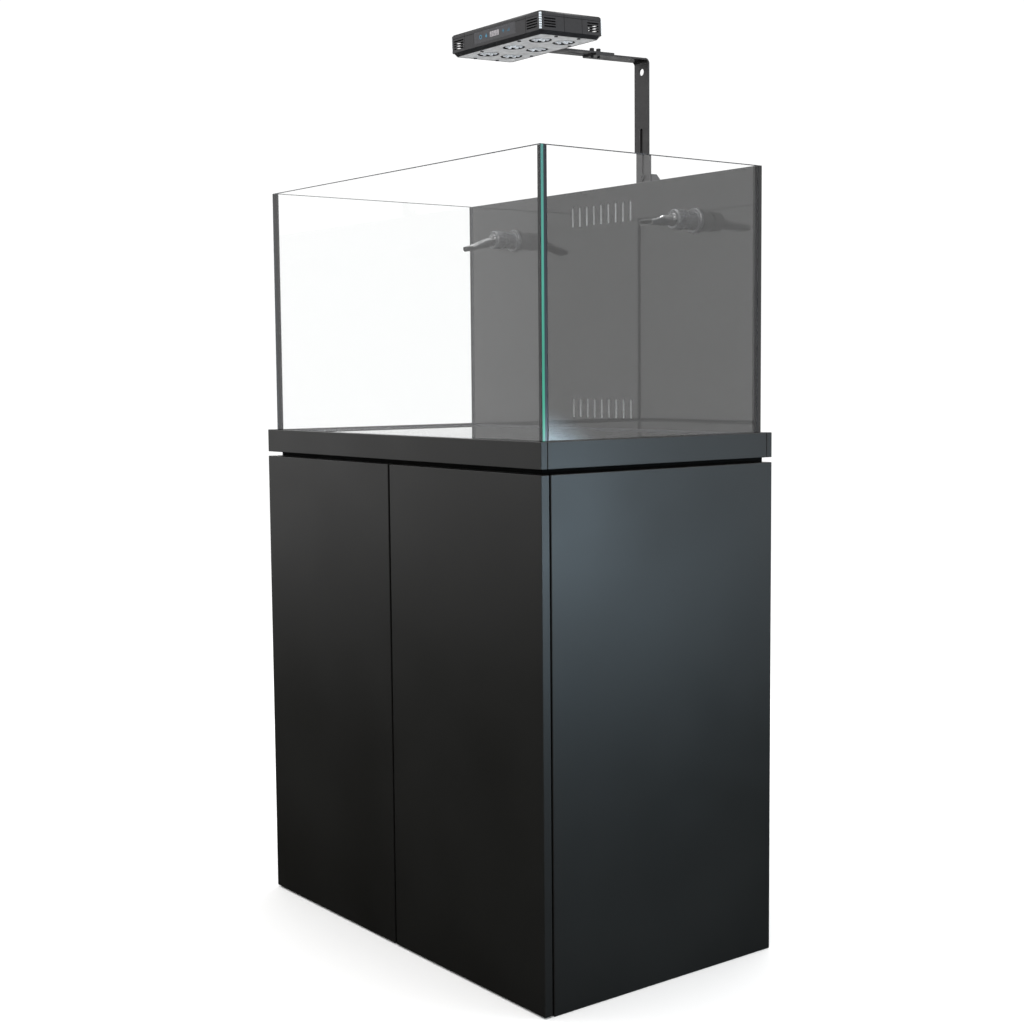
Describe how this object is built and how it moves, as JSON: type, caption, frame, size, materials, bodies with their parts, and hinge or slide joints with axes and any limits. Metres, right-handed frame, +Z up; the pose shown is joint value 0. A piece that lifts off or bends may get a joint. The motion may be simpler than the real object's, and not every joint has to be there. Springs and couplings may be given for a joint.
{
  "type": "aquarium on stand",
  "caption": "Rimless glass aquarium with an opaque rear pane on a two-door cabinet, with a rear filter box, return nozzles and a lamp on an adjustable arm.",
  "frame": {"origin": "on the floor, in the middle of the object's bounding box", "axes": "+Z up, doors face -Y, +X to the right seen from the front"},
  "size_m": [0.8, 0.6, 1.5419],
  "materials": {
    "black_laminate": "satin",
    "dark_board": "matte",
    "zinc_steel": "satin",
    "black_steel": "matte",
    "screw_steel": "satin",
    "latch_plastic": "matte",
    "mat_foam": "matte",
    "clear_glass": "polished",
    "black_glass": "gloss",
    "silicone": "satin",
    "smoked_acrylic": "gloss",
    "fitting_plastic": "satin",
    "ball_plastic": "gloss",
    "nozzle_plastic": "satin",
    "sponge": "matte",
    "lamp_shell": "satin",
    "lamp_trim": "satin",
    "touch_glass": "gloss",
    "lens_plate_metal": "satin",
    "lens_acrylic": "gloss"
  },
  "bodies": {
    "cabinet": {"arm_bolts": "screw_steel", "arm_clamp": "black_steel", "back_panel": "dark_board", "bottom_panel": "dark_board", "filter_box": "smoked_acrylic", "filter_sponge": "sponge", "front_rail": "dark_board", "glass_bottom": "clear_glass", "glass_front": "clear_glass", "glass_left": "clear_glass", "glass_right": "clear_glass", "hinge_arms": "zinc_steel", "latch_housings": "latch_plastic", "media_basket": "fitting_plastic", "rear_pane": "black_glass", "return_pipes": "fitting_plastic", "return_pump": "fitting_plastic", "side_panel_left": "black_laminate", "side_panel_right": "black_laminate", "silicone_seams": "silicone", "spacer_board": "dark_board", "tank_mat": "mat_foam", "top_panel": "dark_board", "tray_base": "dark_board", "tray_board_front": "black_laminate", "tray_board_left": "black_laminate", "tray_board_rear": "black_laminate", "tray_board_right": "black_laminate", "wall_fittings": "fitting_plastic", "wall_nuts": "fitting_plastic"},
    "door_left": {"door_left": "black_laminate", "hinge_cups_left": "zinc_steel"},
    "door_right": {"door_right": "black_laminate", "hinge_cups_right": "zinc_steel"},
    "latch_left": {"latch_plunger_left": "latch_plastic"},
    "ring_left": {"union_ring_left": "fitting_plastic"},
    "ball_left": {"swivel_ball_left": "ball_plastic"},
    "nozzle_left": {"fan_nozzle_left": "nozzle_plastic"},
    "fan_left": {"fan_rotor_left": "lamp_trim"},
    "latch_right": {"latch_plunger_right": "latch_plastic"},
    "ring_right": {"union_ring_right": "fitting_plastic"},
    "ball_right": {"swivel_ball_right": "ball_plastic"},
    "nozzle_right": {"fan_nozzle_right": "nozzle_plastic"},
    "fan_right": {"fan_rotor_right": "lamp_trim"},
    "impeller": {"pump_impeller": "fitting_plastic"},
    "lid": {"filter_lid": "smoked_acrylic"},
    "clamp_knob": {"clamp_screw": "fitting_plastic"},
    "arm": {"arm_upright": "black_steel"},
    "front_knob": {"thumbscrew_front": "screw_steel"},
    "rear_knob": {"thumbscrew_rear": "screw_steel"},
    "lamp": {"arm_extension": "black_steel", "lamp_housing": "lamp_shell", "control_panel": "touch_glass", "power_inlet": "lamp_trim", "lamp_bezel": "lamp_trim", "lens_plate": "lens_plate_metal", "lamp_screws": "screw_steel", "lens_clusters": "lens_acrylic", "led_boards": "lens_plate_metal", "heat_sink": "lens_plate_metal"}
  },
  "joints": [
    {"name": "door_left_swing", "type": "hinge", "parent": "cabinet", "child": "door_left", "pos_m": [-0.393, -0.293, 0.39], "axis": [0, 0, 1], "range_deg": [-95, 0]},
    {"name": "door_right_swing", "type": "hinge", "parent": "cabinet", "child": "door_right", "pos_m": [0.393, -0.293, 0.39], "axis": [0, 0, 1], "range_deg": [0, 95]},
    {"name": "latch_left_press", "type": "slide", "parent": "cabinet", "child": "latch_left", "axis": [0, 1, 0], "range_m": [0, 0.0025], "stiffness_N_per_m": 300, "springref_m": -0.003},
    {"name": "latch_right_press", "type": "slide", "parent": "cabinet", "child": "latch_right", "axis": [0, 1, 0], "range_m": [0, 0.0025], "stiffness_N_per_m": 300, "springref_m": -0.003},
    {"name": "ring_left_turn", "type": "hinge", "parent": "cabinet", "child": "ring_left", "pos_m": [-0.24, 0.1085, 1.202], "axis": [0, 1, 0], "range_deg": [-180, 180]},
    {"name": "ball_left_tilt", "type": "hinge", "parent": "ring_left", "child": "ball_left", "pos_m": [-0.24, 0.1085, 1.202], "axis": [1, 0, 0], "range_deg": [-41, 7]},
    {"name": "nozzle_left_twist", "type": "hinge", "parent": "ball_left", "child": "nozzle_left", "pos_m": [-0.24, 0.1085, 1.202], "axis": [0, -0.9563, -0.2924], "range_deg": [-90, 90]},
    {"name": "ring_right_turn", "type": "hinge", "parent": "cabinet", "child": "ring_right", "pos_m": [0.24, 0.1085, 1.202], "axis": [0, 1, 0], "range_deg": [-180, 180]},
    {"name": "ball_right_tilt", "type": "hinge", "parent": "ring_right", "child": "ball_right", "pos_m": [0.24, 0.1085, 1.202], "axis": [1, 0, 0], "range_deg": [-31, 17]},
    {"name": "nozzle_right_twist", "type": "hinge", "parent": "ball_right", "child": "nozzle_right", "pos_m": [0.24, 0.1085, 1.202], "axis": [0, -0.9925, -0.1219], "range_deg": [-90, 90]},
    {"name": "impeller_spin", "type": "hinge", "parent": "cabinet", "child": "impeller", "pos_m": [0.041, 0.224, 0.895], "axis": [1, 0, 0], "continuous": true},
    {"name": "lid_lift", "type": "slide", "parent": "cabinet", "child": "lid", "axis": [0, 0, 1], "range_m": [0, 0.05]},
    {"name": "clamp_knob_turn", "type": "hinge", "parent": "cabinet", "child": "clamp_knob", "pos_m": [0, 0.29, 1.254], "axis": [0, 1, 0], "range_deg": [0, 360]},
    {"name": "arm_height_slide", "type": "slide", "parent": "cabinet", "child": "arm", "axis": [0, 0, 1], "range_m": [-0.058, 0.034]},
    {"name": "lamp_reach_slide", "type": "slide", "parent": "arm", "child": "lamp", "axis": [0, -0.9994, -0.0349], "range_m": [-0.044, 0.011]},
    {"name": "front_knob_turn", "type": "hinge", "parent": "arm", "child": "front_knob", "pos_m": [0, 0.13947, 1.51188], "axis": [0, -0.0349, 0.9994], "range_deg": [0, 360]},
    {"name": "rear_knob_turn", "type": "hinge", "parent": "arm", "child": "rear_knob", "pos_m": [0, 0.15446, 1.5124], "axis": [0, -0.0349, 0.9994], "range_deg": [0, 360]},
    {"name": "fan_left_spin", "type": "hinge", "parent": "lamp", "child": "fan_left", "pos_m": [-0.066, -0.00961, 1.52569], "axis": [0, -0.0349, 0.9994], "continuous": true},
    {"name": "fan_right_spin", "type": "hinge", "parent": "lamp", "child": "fan_right", "pos_m": [0.066, -0.00961, 1.52569], "axis": [0, -0.0349, 0.9994], "continuous": true}
  ]
}
